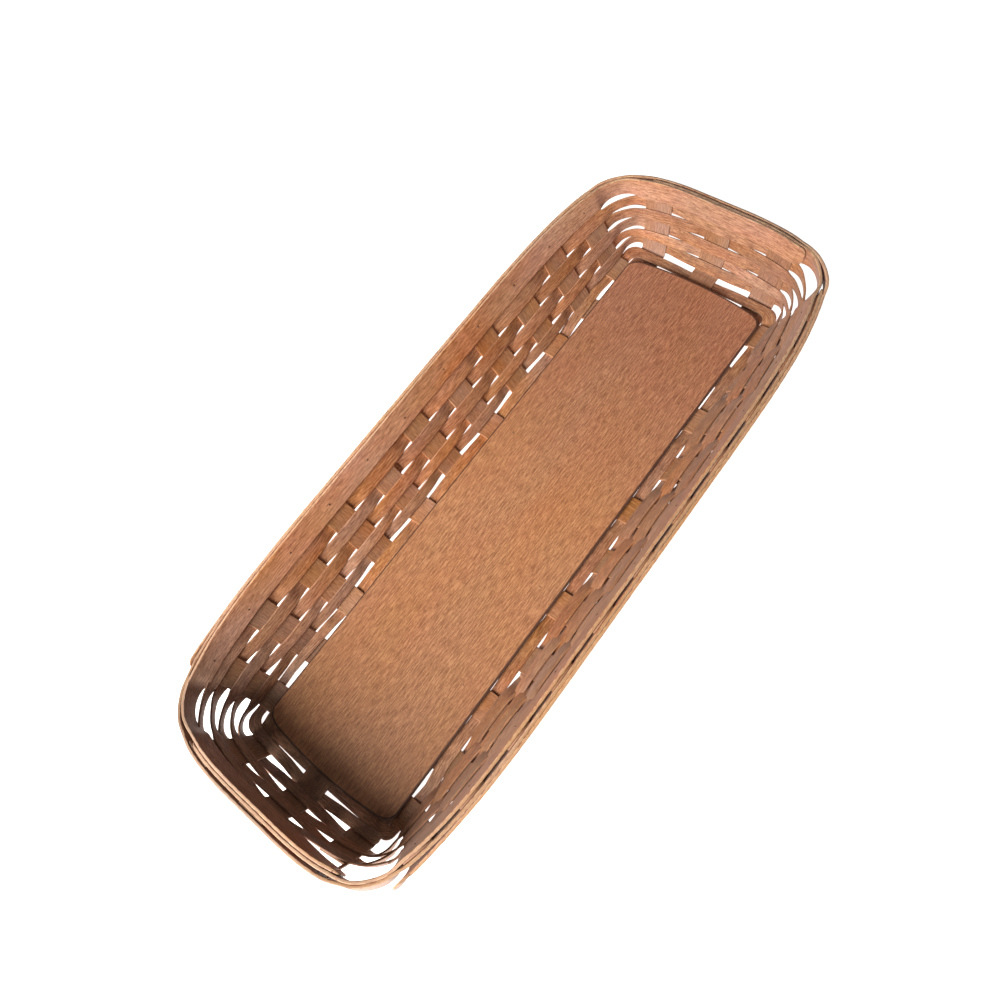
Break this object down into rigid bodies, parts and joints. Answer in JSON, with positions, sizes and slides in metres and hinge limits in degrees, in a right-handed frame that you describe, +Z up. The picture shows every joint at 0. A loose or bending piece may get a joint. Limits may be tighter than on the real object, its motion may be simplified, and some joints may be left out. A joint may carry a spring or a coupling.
{
  "type": "woven basket",
  "caption": "Long shallow splint-woven basket with flared walls, rounded corners, a double banded rim and a flat board in its base.",
  "frame": {"origin": "middle of the underside of the middle cross stake, on the resting plane, at the centre of the base", "axes": "+Z up out of the basket's mouth, +X along the basket, +Y towards one long wall"},
  "size_m": [0.4862, 0.202, 0.057],
  "materials": {
    "stakes": "stained splint, satin, flat grain along the strip",
    "weavers": "stained splint, satin, paler cut edges",
    "rim_bands": "stained splint band, satin, pale top edge, small dents and scuffs",
    "board": "stained thin board, matte, fine grain along its length"
  },
  "bodies": {
    "root": {"base_board": "board", "cross_stake_01": "stakes", "cross_stake_02": "stakes", "cross_stake_03": "stakes", "cross_stake_04": "stakes", "cross_stake_05": "stakes", "cross_stake_06": "stakes", "cross_stake_07": "stakes", "cross_stake_08": "stakes", "cross_stake_09": "stakes", "cross_stake_10": "stakes", "cross_stake_11": "stakes", "long_stake_right": "stakes", "long_stake_middle": "stakes", "long_stake_left": "stakes", "weaver_row_1": "weavers", "weaver_row_2": "weavers", "weaver_row_3": "weavers", "weaver_row_4": "weavers", "weaver_row_5": "weavers", "weaver_row_6": "weavers", "inner_rim_long": "rim_bands", "inner_rim_short": "rim_bands", "outer_rim_under": "rim_bands", "outer_rim_top": "rim_bands"}
  },
  "joints": []
}
